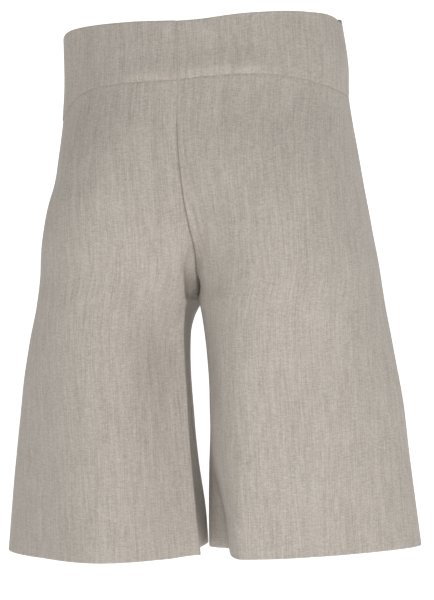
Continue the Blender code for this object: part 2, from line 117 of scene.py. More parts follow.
def linen_material(name):
    """Matt linen, greyed by fine pale and dark streaks that run with the yarns. The pattern
    follows the cloth's own map, in metres."""
    material, tree, shader = new_material(name)
    uv = add_node(tree, "ShaderNodeUVMap", uv_map="cloth").outputs["UV"]
    parts = add_node(tree, "ShaderNodeSeparateXYZ", [("Vector", uv)]).outputs
    across, down = parts["X"], parts["Y"]

    def maths(operation, *values):
        made = add_node(tree, "ShaderNodeMath", list(enumerate(values)), operation=operation)
        return made.outputs[0]

    def streaks(x_size, y_size, detail, seed):
        spot = add_node(tree, "ShaderNodeCombineXYZ", [
            ("X", maths("DIVIDE", across, x_size)),
            ("Y", maths("DIVIDE", down, y_size)),
            ("Z", seed)]).outputs[0]
        noise = add_node(tree, "ShaderNodeTexNoise", [
            ("Vector", spot), ("Scale", 1.0), ("Detail", detail), ("Roughness", 0.6)])
        return noise.outputs["Fac"]

    patterns = {name: streaks(*sizes) for name, (*sizes, _) in YARN_PATTERNS.items()}

    # single yarns: the plain weave shows warp and weft by turns
    warp_wave = maths("SINE", maths("MULTIPLY", across, math.tau / YARN_PITCH))
    weft_wave = maths("SINE", maths("MULTIPLY", down, math.tau / YARN_PITCH))
    weave = maths("MULTIPLY", warp_wave, weft_wave)

    tone = maths("ADD", maths("MULTIPLY", weave, WEAVE_TONE), 0.5)
    for name, (*_, weight) in YARN_PATTERNS.items():
        swing = maths("SUBTRACT", patterns[name], 0.5)
        tone = maths("ADD", tone, maths("MULTIPLY", swing, weight))
    ramp = add_node(tree, "ShaderNodeValToRGB", [("Fac", tone)])
    stops = ramp.color_ramp.elements
    stops[0].position, stops[0].color = 0.0, linear(LINEN_DARK)
    stops[1].position, stops[1].color = 1.0, linear(LINEN_PALE)
    middle = stops.new(0.5)
    middle.color = linear(LINEN_BASE)
    tree.links.new(ramp.outputs["Color"], shader.inputs["Base Color"])

    warp = maths("MULTIPLY", patterns["warp_slubs"], SLUB_HEIGHT)
    height = maths("ADD", maths("MULTIPLY", weave, WEAVE_HEIGHT),
                   maths("ADD", warp, patterns["weft_slubs"]))
    bump = add_node(tree, "ShaderNodeBump", [
        ("Height", height), ("Distance", WEAVE_DEPTH), ("Strength", 0.8)])
    tree.links.new(bump.outputs["Normal"], shader.inputs["Normal"])
    shader.inputs["Roughness"].default_value = 0.86
    shader.inputs["Specular IOR Level"].default_value = 0.25
    shader.inputs["Sheen Weight"].default_value = 0.12
    shader.inputs["Sheen Roughness"].default_value = 0.5
    return material


linen = linen_material("washed_linen_plain_weave")


# ---- Leg panels --------------------------------------------------------------------------
# Two backs and two fronts, cut wide and straight, with a curved crotch seam. Worn, the
# cloth rounds the seat and thighs and then hangs free in a few long soft folds.

SIDES = {"left": -1.0, "right": 1.0}
FACES = {"back": -1.0, "front": 1.0}
CROTCH = 0.309
HEM = {"left": 0.598, "right": 0.593}
BAND_DEPTH = 0.0650        # at the centre seams
HIP_TILT = 0.036
CURVE_STEPS = 64
EVEN_DROPS = (0.0, 0.08, 0.16, 0.25, 0.37, 0.45, 0.53, 0.598)
DRAW_IN = 5
HAIR_GAP = 0.00005         # between two shells that meet in a seam
GRAIN_OUT = 0.090          # the warp hangs straight down this far from the middle


def named_table(names, rows):
    """Columns of a short table, by name."""
    return dict(zip(names.split(), np.array(rows, dtype=float).T))


STANCE = named_table("drop turn shift", (
    (0.000, -3.0, -0.0010),
    (0.060, -2.0, 0.0000),
    (0.110, -1.2, -0.0025),
    (0.180, 0.0, -0.0005),
    (0.235, 0.0, 0.0035),
    (0.280, 0.0, 0.0045),
    (0.314, 0.0, -0.0015),
    (0.450, 0.0, 0.0010),
    (0.598, 0.0, 0.0060),
))

OUTSEAM = named_table("drop left right", (
    (0.000, 0.1670, 0.1595),
    (0.050, 0.1655, 0.1655),
    (0.080, 0.1645, 0.1670),
    (0.110, 0.1635, 0.1725),
    (0.140, 0.1655, 0.1775),
    (0.170, 0.1705, 0.1815),
    (0.200, 0.1820, 0.1850),
    (0.230, 0.1905, 0.1885),
    (0.255, 0.1950, 0.1920),
    (0.280, 0.1965, 0.1970),
    (0.314, 0.1960, 0.2085),
    (0.350, 0.2030, 0.2180),
    (0.400, 0.2150, 0.2260),
    (0.500, 0.2320, 0.2360),
    (0.598, 0.2450, 0.2460),
))

CRESTS = {
    "back": named_table("drop left_out right_out left_depth right_depth", (
        (0.000, 0.000, 0.000, 0.104, 0.104),
        (0.080, 0.030, 0.030, 0.110, 0.110),
        (0.150, 0.070, 0.070, 0.121, 0.121),
        (0.220, 0.088, 0.088, 0.126, 0.126),
        (0.300, 0.094, 0.094, 0.122, 0.122),
        (0.314, 0.095, 0.095, 0.121, 0.121),
        (0.400, 0.100, 0.088, 0.117, 0.116),
        (0.500, 0.102, 0.084, 0.113, 0.110),
        (0.598, 0.102, 0.082, 0.110, 0.105),
    )),
    "front": named_table("drop left_out right_out left_depth right_depth", (
        (0.000, 0.000, 0.000, 0.098, 0.098),
        (0.080, 0.030, 0.030, 0.104, 0.104),
        (0.150, 0.062, 0.062, 0.108, 0.108),
        (0.220, 0.082, 0.082, 0.110, 0.110),
        (0.300, 0.096, 0.096, 0.108, 0.108),
        (0.314, 0.098, 0.098, 0.108, 0.108),
        (0.400, 0.104, 0.108, 0.106, 0.106),
        (0.598, 0.112, 0.118, 0.106, 0.104),
    )),
}

FULLNESS = named_table("drop left_outer right_outer back_left back_right front_left front_right", (
    (0.000, 0.55, 0.55, 0.55, 0.55, 0.55, 0.55),
    (0.220, 0.55, 0.55, 0.55, 0.55, 0.55, 0.55),
    (0.314, 0.52, 0.51, 0.50, 0.55, 0.50, 0.55),
    (0.400, 0.45, 0.43, 0.48, 0.56, 0.44, 0.50),
    (0.500, 0.38, 0.36, 0.46, 0.58, 0.42, 0.50),
    (0.598, 0.34, 0.32, 0.46, 0.60, 0.42, 0.50),
))

# Where the round of the leg would end. Above the crotch that is past the middle, where
# the two halves meet in the centre seam.
ROUND_END = named_table("drop back_left back_right front_left front_right", (
    (0.000, -0.166, -0.166, -0.166, -0.166),
    (0.080, -0.160, -0.160, -0.162, -0.162),
    (0.150, -0.128, -0.128, -0.140, -0.140),
    (0.206, -0.076, -0.076, -0.100, -0.100),
    (0.246, -0.032, -0.032, -0.056, -0.056),
    (0.280, -0.010, -0.010, -0.022, -0.022),
    (0.300, -0.002, -0.002, -0.005, -0.005),
    (0.309, 0.000, 0.000, 0.000, 0.000),
    (0.340, 0.003, 0.006, 0.014, 0.006),
    (0.400, 0.004, 0.010, 0.019, 0.012),
    (0.450, 0.003, 0.008, 0.017, 0.013),
    (0.500, -0.001, 0.001, 0.014, 0.008),
    (0.598, -0.008, -0.002, 0.006, 0.005),
))

# The inseam, which draws the cloth beside it out from the middle below the crotch
INSEAM = named_table("drop left right forward", (
    (0.309, 0.0000, 0.0000, -0.010),
    (0.316, 0.0080, 0.0018, -0.006),
    (0.325, 0.0135, 0.0042, -0.001),
    (0.340, 0.0168, 0.0066, 0.004),
    (0.360, 0.0180, 0.0090, 0.008),
    (0.400, 0.0200, 0.0115, 0.010),
    (0.450, 0.0190, 0.0100, 0.010),
    (0.500, 0.0140, 0.0045, 0.008),
    (0.550, 0.0065, 0.0015, 0.005),
    (0.598, 0.0045, 0.0000, 0.005),
))
INSEAM_REACH = 0.055

# At the inner hem of the right leg the back is folded in. Its section there leaves the
# plain round by these distances, at shares of the way from the crest to the inseam.
FOLDED_IN = named_table("share out forward", (
    (0.00, 0.0000, 0.0000),
    (0.15, 0.0009, -0.0035),
    (0.24, 0.0042, 0.0015),
    (0.30, 0.0072, 0.0052),
    (0.50, 0.0177, 0.0133),
    (0.66, 0.0236, 0.0160),
    (0.72, 0.0232, 0.0162),
    (0.82, 0.0118, 0.0059),
    (0.89, 0.0036, 0.0004),
    (0.95, 0.0005, -0.0010),
    (1.00, 0.0000, 0.0000),
))
FOLDED_IN_BY = named_table("drop share", (
    (0.000, 0.00),
    (0.400, 0.00),
    (0.435, 0.00),
    (0.480, 0.20),
    (0.520, 0.60),
    (0.560, 0.90),
    (0.598, 1.00),
))

# Edges of the waistband: its top stands a little higher over each hip, and its seam dips
# to the outseams
BAND_EDGES = named_table("along top_left top_right seam_left seam_right", (
    (0.00, 0.0035, 0.0035, 0.0985, 0.0855),
    (0.10, 0.0025, -0.0020, 0.0985, 0.0815),
    (0.20, -0.0005, -0.0045, 0.0970, 0.0768),
    (0.27, -0.0022, -0.0050, 0.0930, 0.0735),
    (0.31, -0.0028, -0.0055, 0.0865, 0.0716),
    (0.36, -0.0031, -0.0058, 0.0785, 0.0692),
    (0.45, -0.0034, -0.0058, 0.0710, 0.0660),
    (0.54, -0.0034, -0.0052, 0.0672, 0.0635),
    (0.65, -0.0030, -0.0042, 0.0658, 0.0622),
    (0.75, -0.0026, -0.0024, 0.0650, 0.0622),
    (0.87, -0.0014, 0.0000, 0.0650, 0.0633),
    (1.00, 0.0000, 0.0004, 0.0650, 0.0650),
))

# Main creases. Each has its round, small for a crisp crest, and then the marks of
# its path: along, drop, width and height, which is negative in a hollow.
CREASES = {
    ("left", "back"): (
        # inner edge of the leg, below the seat: a broad roll, its crisp crest, and the
        # hollow behind it
        (1.0, (
            (0.940, 0.240, 0.010, 0.000), (0.900, 0.275, 0.013, 0.004),
            (0.880, 0.295, 0.013, 0.006), (0.857, 0.325, 0.014, 0.004),
            (0.848, 0.360, 0.015, 0.002), (0.850, 0.420, 0.015, 0.002),
            (0.862, 0.500, 0.015, 0.002), (0.874, 0.600, 0.015, 0.003))),
        (0.15, (
            (0.965, 0.245, 0.004, 0.000), (0.910, 0.288, 0.005, 0.003),
            (0.858, 0.325, 0.006, 0.005), (0.851, 0.380, 0.006, 0.005),
            (0.854, 0.440, 0.006, 0.005), (0.859, 0.490, 0.006, 0.005),
            (0.864, 0.530, 0.006, 0.005), (0.868, 0.570, 0.006, 0.005),
            (0.871, 0.600, 0.006, 0.005))),
        (1.0, (
            (0.965, 0.255, 0.007, 0.000), (0.955, 0.280, 0.008, -0.005),
            (0.945, 0.305, 0.009, -0.006), (0.930, 0.340, 0.009, -0.003),
            (0.920, 0.400, 0.010, -0.002), (0.910, 0.450, 0.010, -0.002),
            (0.912, 0.490, 0.010, -0.003), (0.918, 0.540, 0.010, -0.004),
            (0.920, 0.600, 0.010, -0.004))),
        # long hollow down the leg, beside the roll
        (1.0, (
            (0.735, 0.195, 0.016, 0.000), (0.730, 0.245, 0.020, -0.005),
            (0.735, 0.300, 0.018, -0.007), (0.755, 0.345, 0.014, -0.005),
            (0.775, 0.390, 0.012, -0.0035), (0.778, 0.440, 0.013, -0.003),
            (0.770, 0.500, 0.014, -0.002), (0.775, 0.600, 0.015, -0.001))),
        # the hip stands out as a soft ridge
        (1.0, (
            (0.400, 0.085, 0.020, 0.000), (0.420, 0.130, 0.024, 0.003),
            (0.450, 0.200, 0.026, 0.003), (0.480, 0.280, 0.026, 0.002),
            (0.500, 0.340, 0.026, 0.000))),
        # shallow hollow towards the outseam
        (1.0, (
            (0.280, 0.300, 0.026, 0.000), (0.290, 0.380, 0.028, -0.004),
            (0.300, 0.500, 0.028, -0.005), (0.300, 0.600, 0.028, -0.005))),
    ),
    ("right", "back"): (
        # soft ridge from the seat across to the outer thigh
        (0.8, (
            (0.760, 0.110, 0.014, 0.000), (0.730, 0.142, 0.016, 0.002),
            (0.680, 0.200, 0.018, 0.003), (0.640, 0.258, 0.018, 0.004),
            (0.590, 0.320, 0.020, 0.004), (0.540, 0.382, 0.022, 0.003),
            (0.580, 0.472, 0.022, 0.003), (0.590, 0.600, 0.022, 0.003))),
        # allowance of the centre seam, pressed to this side, and the hollow next to it
        (0.5, (
            (0.958, 0.070, 0.0018, 0.0000), (0.960, 0.100, 0.0018, -0.0005),
            (0.963, 0.160, 0.0018, -0.0009), (0.964, 0.215, 0.0018, -0.0008),
            (0.967, 0.250, 0.0018, 0.0000))),
        (1.0, (
            (0.930, 0.130, 0.009, 0.0000), (0.930, 0.170, 0.010, -0.0015),
            (0.925, 0.210, 0.010, -0.0022), (0.920, 0.250, 0.010, -0.0025),
            (0.920, 0.290, 0.010, 0.0000))),
        (1.0, (
            (0.860, 0.170, 0.014, 0.000), (0.850, 0.220, 0.015, -0.004),
            (0.830, 0.290, 0.015, -0.003), (0.790, 0.340, 0.015, -0.003),
            (0.750, 0.400, 0.014, -0.003), (0.760, 0.440, 0.014, 0.000))),
    ),
    ("left", "front"): (
        (1.0, (
            (0.550, 0.270, 0.024, 0.000), (0.570, 0.380, 0.024, -0.005),
            (0.600, 0.600, 0.026, -0.006))),
        (0.7, (
            (0.800, 0.330, 0.016, 0.000), (0.810, 0.430, 0.018, 0.004),
            (0.820, 0.600, 0.018, 0.005))),
    ),
    ("right", "front"): (
        (1.0, (
            (0.600, 0.250, 0.024, 0.000), (0.580, 0.360, 0.024, -0.004),
            (0.560, 0.600, 0.026, -0.006))),
        (0.7, (
            (0.260, 0.350, 0.020, 0.000), (0.240, 0.440, 0.020, -0.004),
            (0.220, 0.600, 0.020, -0.005))),
    ),
}
SEAM_HOLD = 0.008
PATH_STEPS = 90

# The centre back seam: it wanders aside in wear, its two sides dip to it and turn down to
# the seam itself. Where it goes in between the legs a deep slit stays open, behind a thin
# lip on the left side.
CENTRE_BACK = named_table((
    "drop aside dip_left dip_right reach_left reach_right seam turn_right lip slit"), (
    (0.060, 0.0000, 0.0000, 0.0000, 0.003, 0.006, 0.0000, 0.0009, 0.0000, 0.0000),
    (0.110, 0.0012, 0.0000, 0.0003, 0.008, 0.020, 0.0008, 0.0009, 0.0000, 0.0000),
    (0.150, 0.0012, 0.0008, 0.0022, 0.009, 0.030, 0.0028, 0.0009, 0.0000, 0.0000),
    (0.190, 0.0016, 0.0022, 0.0042, 0.010, 0.036, 0.0046, 0.0009, 0.0000, 0.0000),
    (0.220, 0.0028, 0.0028, 0.0050, 0.012, 0.040, 0.0054, 0.0009, 0.0002, 0.0000),
    (0.245, 0.0036, 0.0028, 0.0048, 0.012, 0.036, 0.0052, 0.0009, 0.0003, 0.0000),
    (0.262, 0.0022, 0.0018, 0.0042, 0.008, 0.030, 0.0052, 0.0010, 0.0004, 0.0000),
    (0.279, 0.0000, 0.0012, 0.0040, 0.006, 0.020, 0.0075, 0.0012, 0.0010, 0.0004),
    (0.288, -0.0008, 0.0075, 0.0040, 0.010, 0.014, 0.0240, 0.0022, 0.0045, 0.0024),
    (0.296, -0.0012, 0.0090, 0.0040, 0.010, 0.012, 0.0320, 0.0022, 0.0060, 0.0030),
    (0.303, -0.0028, 0.0090, 0.0040, 0.010, 0.012, 0.0300, 0.0022, 0.0050, 0.0034),
    (0.307, -0.0010, 0.0030, 0.0020, 0.008, 0.008, 0.0060, 0.0018, 0.0010, 0.0010),
    (0.309, 0.0000, 0.0000, 0.0000, 0.008, 0.008, 0.0000, 0.0010, 0.0000, 0.0000),
))
ASIDE_REACH = 0.045

# The inner edge of the left leg stands out towards the back as one fold, flat up to its
# crest and steep behind it.
INNER_FOLD = named_table("drop at out", (
    (0.000, 0.870, 0.0000),
    (0.300, 0.870, 0.0000),
    (0.345, 0.855, 0.0070),
    (0.380, 0.854, 0.0120),
    (0.440, 0.857, 0.0155),
    (0.490, 0.862, 0.0165),
    (0.530, 0.867, 0.0165),
    (0.570, 0.871, 0.0165),
    (0.600, 0.874, 0.0165),
))
FOLD_FLAT = 0.17           # shares of the panel before and behind the crest
FOLD_STEEP = 0.045
FOLD_RISE = 1.5            # power of the rise, which keeps the crest crisp
FOLD_WAY = (math.sin(math.radians(14.0)), -math.cos(math.radians(14.0)))

MEETING_DROPS = np.linspace(0.0, CROTCH, 40)
MEETING_REACH = 0.020
SLIT_EDGE = 0.0025
LIP_AT = 0.0016
LIP_WIDTH = 0.0008
TURN_LEFT = 0.0011         # inside this the left side turns down to the seam


def smooth(table, name, at, by="drop"):
    """One column of a table at any place, on a smooth curve through its rows."""
    places = table[by]
    values = table[name]
    slopes = np.gradient(values, places)
    first = np.clip(np.searchsorted(places, at, side="right") - 1, 0, len(places) - 2)
    span = places[first + 1] - places[first]
    t = np.clip((at - places[first]) / span, 0.0, 1.0)
    start = values[first] * (2 * t**3 - 3 * t**2 + 1)
    start = start + slopes[first] * span * (t**3 - 2 * t**2 + t)
    end = values[first + 1] * (3 * t**2 - 2 * t**3) + slopes[first + 1] * span * (t**3 - t**2)
    return start + end


def ease(t):
    """0 to 1 with a level start and end."""
    t = np.clip(t, 0.0, 1.0)
    return t * t * (3.0 - 2.0 * t)


def curve(start, start_handle, end_handle, end):
    """Cubic curves between many pairs of points, as rows of short straight bits."""
    t = np.linspace(0.0, 1.0, CURVE_STEPS + 1)[None, :, None]
    start, start_handle, end_handle, end = (
        np.stack(p, axis=-1)[:, None, :] for p in (start, start_handle, end_handle, end))
    return ((1 - t)**3 * start + 3 * t * (1 - t)**2 * start_handle
            + 3 * t**2 * (1 - t) * end_handle + t**3 * end)


def half_sections(side, face, drop):
    """Outlines from the outseam to the inner edge, one for each drop, before folds."""
    toward = FACES[face]
    outer_x = smooth(OUTSEAM, side, drop)
    crest_x = smooth(CRESTS[face], side + "_out", drop)
    crest_y = toward * smooth(CRESTS[face], side + "_depth", drop)
    inner_x = smooth(ROUND_END, f"{face}_{side}", drop)
    pull = np.where(drop > CROTCH, smooth(INSEAM, side, drop) - inner_x, 0.0)
    inner_y = smooth(INSEAM, "forward", drop)
    outer_full = smooth(FULLNESS, side + "_outer", drop)
    inner_full = smooth(FULLNESS, f"{face}_{side}", drop)
    outer_curve = curve(
        (outer_x, np.zeros_like(drop)),
        (outer_x, outer_full * crest_y),
        (crest_x + outer_full * (outer_x - crest_x), crest_y),
        (crest_x, crest_y))
    inner_curve = curve(
        (crest_x, crest_y),
        (crest_x - inner_full * (crest_x - inner_x), crest_y),
        (inner_x, inner_y + inner_full * (crest_y - inner_y)),
        (inner_x, inner_y))
    if (side, face) == ("right", "back"):
        share = np.linspace(0.0, 1.0, CURVE_STEPS + 1)
        leave = np.stack([smooth(FOLDED_IN, name, share, "share")
                          for name in ("out", "forward")], axis=-1)
        inner_curve += smooth(FOLDED_IN_BY, "share", drop)[:, None, None] * leave
    outline = np.concatenate((outer_curve, inner_curve[:, 1:]), axis=1)
    run = run_along(outline)
    outline[:, :, 0] += pull[:, None] * ease(1.0 - (run[:, -1:] - run) / INSEAM_REACH)
    return outline


def run_along(outline):
    """Length run at each point of the outlines."""
    steps = np.linalg.norm(np.diff(outline, axis=1), axis=2)
    return np.concatenate((np.zeros((len(outline), 1)), np.cumsum(steps, axis=1)), axis=1)


def run_to(outline, run, x_level):
    """Length run where each outline first comes nearer the middle than x_level, or all of it."""
    x = outline[:, :, 0]
    row = np.arange(len(outline))
    crosses = (x < x_level).any(axis=1)
    past = np.where(crosses, (x < x_level).argmax(axis=1), x.shape[1] - 1)
    before = past - 1
    share = np.where(crosses, (x[row, before] - x_level) / (x[row, before] - x[row, past]), 1.0)
    return run[row, before] + (run[row, past] - run[row, before]) * share


def runs(outline):
    """Length run at each point of the outlines, and the length up to the middle."""
    run = run_along(outline)
    return run, run_to(outline, run, HAIR_GAP / 2)


def even_length(side, face, drop):
    """Length of the half sections without the jump that the crotch brings."""
    places = np.array(EVEN_DROPS)
    lengths = runs(half_sections(side, face, places))[1]
    return smooth({"drop": places, "length": lengths}, "length", drop)


def nearest_on_path(points, path):
    """Distance from each point to a line through many places, and the share of the line there."""
    first, step = path[:-1], np.diff(path, axis=0)
    reach = points[:, None, :] - first[None, :, :]
    t = np.clip((reach * step).sum(axis=2) / (step**2).sum(axis=1), 0.0, 1.0)
    away = np.linalg.norm(reach - t[..., None] * step, axis=2)
    best = away.argmin(axis=1)
    row = np.arange(len(points))
    return away[row, best], (best + t[row, best]) / len(step)


def crease_height(side, face, points, along, length):
    """How far the creases move the cloth out of its section."""
    total = np.zeros(len(points))
    for round_, rows in CREASES[side, face]:
        marks = named_table("along drop width height", rows)
        marks["share"] = np.linspace(0.0, 1.0, len(rows))
        share = np.linspace(0.0, 1.0, PATH_STEPS)
        places = [smooth(marks, name, share, "share") for name in ("along", "drop")]
        path = section_points(side, face, *places)[0]
        away, share = nearest_on_path(points, path)
        width = smooth(marks, "width", share, "share")
        crest = np.exp(round_ - np.hypot(away / width, round_))
        total += smooth(marks, "height", share, "share") * crest
    return total * ease(along * length / SEAM_HOLD) * ease((1.0 - along) * length / SEAM_HOLD)


def stand(x, y, drop):
    """Points in the stance of the wearer."""
    angle = np.radians(smooth(STANCE, "turn", drop))
    turned_x = x * np.cos(angle) - y * np.sin(angle)
    turned_y = x * np.sin(angle) + y * np.cos(angle)
    shift = smooth(STANCE, "shift", drop)
    return np.stack((turned_x + shift, turned_y, HIP_TILT * turned_x - drop), axis=-1)


def section_points(side, face, along, drop):
    """Points on the smooth sections, the directions out of them, and three lengths of each:
    its run from the outseam, the whole run, and the run to the grain line."""
    along = np.clip(along, 0.0, 1.0)
    outline = half_sections(side, face, drop)
    run, length = runs(outline)
    even = even_length(side, face, drop)
    wanted = along * even + (length - even) * along**DRAW_IN
    first = np.clip((run <= wanted[:, None]).sum(axis=1) - 1, 0, run.shape[1] - 2)
    row = np.arange(len(drop))
    share = ((wanted - run[row, first]) / (run[row, first + 1] - run[row, first]))[:, None]
    tangents = np.gradient(outline, axis=1, edge_order=2)
    tangent = tangents[row, first] * (1 - share) + tangents[row, first + 1] * share
    tangent /= np.linalg.norm(tangent, axis=1)[:, None]
    point = outline[row, first] * (1 - share) + outline[row, first + 1] * share
    out = np.stack((tangent[:, 1], -tangent[:, 0]), axis=1) * FACES[face]
    for flat in (point, out):
        flat[:, 0] *= SIDES[side]
    grain = run_to(outline, run, GRAIN_OUT)
    return stand(point[:, 0], point[:, 1], drop), out, wanted, length, grain


# The two halves of a centre seam end at slightly different depths, and meet half way
MEETING = {}
for side in SIDES:
    for face in FACES:
        seam = section_points(side, face, np.ones(len(MEETING_DROPS)), MEETING_DROPS)[0]
        MEETING[side, face] = seam[:, 1]


def cloth(side, face, along, drop):
    """Points on the cloth, with the run of each from the outseam and from the grain line."""
    along, drop = np.broadcast_arrays(np.asarray(along, float), np.asarray(drop, float))
    shape = drop.shape
    along, drop = along.ravel(), drop.ravel()
    points, out, run, length, grain = section_points(side, face, along, drop)
    points[:, :2] += out * crease_height(side, face, points, along, length)[:, None]
    half_way = (MEETING["left", face] + MEETING["right", face]) / 2 - MEETING[side, face]
    half_way = np.interp(drop, MEETING_DROPS, half_way, right=0.0)
    points[:, 1] += half_way * ease(1.0 - (length - run) / MEETING_REACH)
    if (side, face) == ("left", "back"):
        crest = smooth(INNER_FOLD, "at", drop)
        rise = np.clip((along - crest) / FOLD_FLAT + 1.0, 0.0, 1.0) ** FOLD_RISE
        fall = 1.0 - ease((along - crest) / FOLD_STEEP)
        reach = smooth(INNER_FOLD, "out", drop) * rise * fall
        points[:, :2] += reach[:, None] * np.array(FOLD_WAY)
    if face == "back":
        from_seam = length - run
        points[:, 0] += smooth(CENTRE_BACK, "aside", drop) * ease(1.0 - from_seam / ASIDE_REACH)
        dip = smooth(CENTRE_BACK, "dip_" + side, drop)
        points[:, 1] += dip * ease(1.0 - from_seam / smooth(CENTRE_BACK, "reach_" + side, drop))
        turn = TURN_LEFT if side == "left" else smooth(CENTRE_BACK, "turn_right", drop)
        down = np.where(drop < CROTCH, smooth(CENTRE_BACK, "seam", drop) - dip, 0.0)
        points[:, 1] += down * np.clip(1.0 - from_seam / turn, 0.0, 1.0)
        if side == "right":
            away = ease(1.0 - from_seam / ASIDE_REACH) * ease(from_seam / SLIT_EDGE)
            points[:, 0] += smooth(CENTRE_BACK, "slit", drop) * away
        else:
            lip = np.exp(-((from_seam - LIP_AT) / LIP_WIDTH) ** 2)
            lip = lip - math.exp(-((LIP_AT / LIP_WIDTH) ** 2))
            points[:, 1] -= smooth(CENTRE_BACK, "lip", drop) * np.clip(lip, 0.0, 1.0)
    return points.reshape(*shape, 3), run.reshape(shape), (run - grain).reshape(shape)


def band_edge(edge, side, along):
    """Drop of the top or of the seam of the waistband."""
    return smooth(BAND_EDGES, f"{edge}_{side}", along, "along")


def outward(points, sign):
    """Directions straight out of a grid of cloth."""
    normals = np.cross(np.gradient(points, axis=1), np.gradient(points, axis=0)) * sign
    return normals / np.linalg.norm(normals, axis=2)[:, :, None]


NEXT_PIECE = 1.7           # each piece is cut this far along the cloth from the one before
SHARP_ANGLE = math.radians(50)


def shell_object(name, outer, inner, across, down, outside_first, material):
    """A closed thin shell between two grids of points, mapped by the cloth's own metres."""
    across = across + NEXT_PIECE * len(bpy.data.meshes)
    rows, columns = outer.shape[:2]
    count = rows * columns
    index = np.arange(count).reshape(rows, columns)
    quads = np.stack((index[:-1, :-1], index[1:, :-1], index[1:, 1:], index[:-1, 1:]), axis=-1)
    quads = quads.reshape(-1, 4)
    rim = np.concatenate((index[0, :], index[1:, -1], index[-1, -2::-1], index[-2:0:-1, 0]))
    ahead = np.roll(rim, -1)
    walls = np.stack((rim, ahead, ahead + count, rim + count), axis=-1)
    faces = np.concatenate((quads, quads[:, ::-1] + count, walls))
    if not outside_first:
        faces = faces[:, ::-1]
    data = bpy.data.meshes.new(name)
    points = np.concatenate((outer.reshape(-1, 3), inner.reshape(-1, 3)))
    data.from_pydata(points.tolist(), [], faces.tolist())
    layer = data.uv_layers.new(name="cloth")
    flat = np.stack((across.ravel(), down.ravel()), axis=-1)
    flat = np.concatenate((flat, flat))
    layer.data.foreach_set("uv", flat[faces.ravel()].ravel())
    data.shade_smooth()
    data.set_sharp_from_angle(angle=SHARP_ANGLE)
    data.materials.append(material)
    item = bpy.data.objects.new(name, data)
    bpy.context.scene.collection.objects.link(item)
    return item


# Edge columns and rows stand close, so that the seams can roll and the hem can fold
EDGE_STEPS = (0.0, 0.0005, 0.0011, 0.0019, 0.003, 0.0045, 0.0065, 0.009, 0.0115)
MAIN_STEP = 0.0031
CLOTH_THICK = 0.0009
ALLOWANCE_WIDTH = 0.010    # seam allowances, pressed open inside
ALLOWANCE_THICK = 0.0009
HEM_DEPTH = 0.022          # turned up once inside
HEM_THICK = 0.0008
HEM_ROUND = 0.5            # share of the edge that rounds off, and its width
HEM_ROUND_WIDTH = 0.0007
LAYER_STEP = 0.0012        # width of the step where an inner layer ends
SEAM_ROLL = 0.0007
SEAM_ROLL_WIDTH = 0.0016
TOP_ROLL = 0.6             # share of the roll along the waistband
CENTRE_ROLL = 0.00025      # along the centre seam, which is pressed flat
CENTRE_ROLL_WIDTH = 0.0009
SEAM_MEETS = 0.005
CRISP_FROM = 0.815         # columns stand close by the crisp crest of the left leg
CRISP_TO = 0.935
CRISP_COLUMNS = 42
CRISP_CLEAR = 0.003
WIDTH_DROP = 0.35          # columns are spaced by the width of the panel here
# The hem hangs a little higher at the inner side of the left leg: from, to, how much
HEM_RAISED = {("left", "back"): ((0.74, 0.87, 0.0025), (0.873, 0.903, 0.0025)),
              ("left", "front"): ((0.80, 1.0, 0.0050),)}


def spread(length):
    """Distances along an edge-to-edge stretch of cloth, close together at both ends."""
    edge = np.array(EDGE_STEPS)
    steps = round((length - 2 * edge[-1]) / MAIN_STEP)
    middle = np.linspace(edge[-1], length - edge[-1], max(2, steps + 1))
    return np.concatenate((edge[:-1], middle, length - edge[:-1][::-1]))


def make_leg_panel(side, face):
    """One panel from the waistband seam to the folded hem."""
    hem = HEM[side]
    width = runs(half_sections(side, face, np.array([WIDTH_DROP])))[1][0]
    along = spread(width) / width
    if (side, face) == ("left", "back"):
        crisp = np.linspace(CRISP_FROM, CRISP_TO, CRISP_COLUMNS)
        before, after = along < CRISP_FROM - CRISP_CLEAR, along > CRISP_TO + CRISP_CLEAR
        along = np.concatenate((along[before], crisp, along[after]))
    along = along[None, :]
    for start, end, raised in HEM_RAISED.get((side, face), ()):
        hem = hem - raised * ease((along - start) / (end - start))
    top = band_edge("seam", side, along) + HAIR_GAP
    share = (spread(HEM[side] - BAND_DEPTH) / (HEM[side] - BAND_DEPTH))[:, None]
    drop = top + (hem - top) * share
    points, run, across = cloth(side, face, along, drop)
    sign = -SIDES[side] * FACES[face]
    out = outward(points, sign)
    length = run[:, -1:]
    from_side = np.minimum(run, length - run)
    from_top = drop - top
    from_hem = hem - drop
    centre = (drop < CROTCH) & (run > length / 2)
    # the two sides of a centre seam meet in one wall, straight in from it
    meets = ease((CROTCH + SEAM_MEETS - drop) / SEAM_MEETS)
    meets = meets * ease(1.0 - (length - run) / SEAM_MEETS)
    out = out * (1.0 - meets)[..., None] + np.array((0.0, FACES[face], 0.0)) * meets[..., None]
    out /= np.linalg.norm(out, axis=2)[..., None]
    centre_roll = CENTRE_ROLL / SEAM_ROLL * np.exp(-(from_side / CENTRE_ROLL_WIDTH) ** 2)
    roll = np.where(centre, centre_roll, np.exp(-(from_side / SEAM_ROLL_WIDTH) ** 2))
    roll += TOP_ROLL * np.exp(-(from_top / SEAM_ROLL_WIDTH) ** 2)
    hem_round = np.exp(-(from_hem / HEM_ROUND_WIDTH) ** 2) * HEM_ROUND
    thick = (CLOTH_THICK
             + ALLOWANCE_THICK * ease((ALLOWANCE_WIDTH - from_side) / LAYER_STEP)
             + HEM_THICK * ease((HEM_DEPTH - from_hem) / LAYER_STEP))
    outer = points - SEAM_ROLL * (roll + hem_round)[..., None] * out
    inner = points - (thick * (1 - 0.5 * hem_round))[..., None] * out
    panel = shell_object(f"{face}_{side}_panel", outer, inner, across, drop, sign < 0, linen)
    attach(panel, "root")
    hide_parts(f"{face}_{side}")


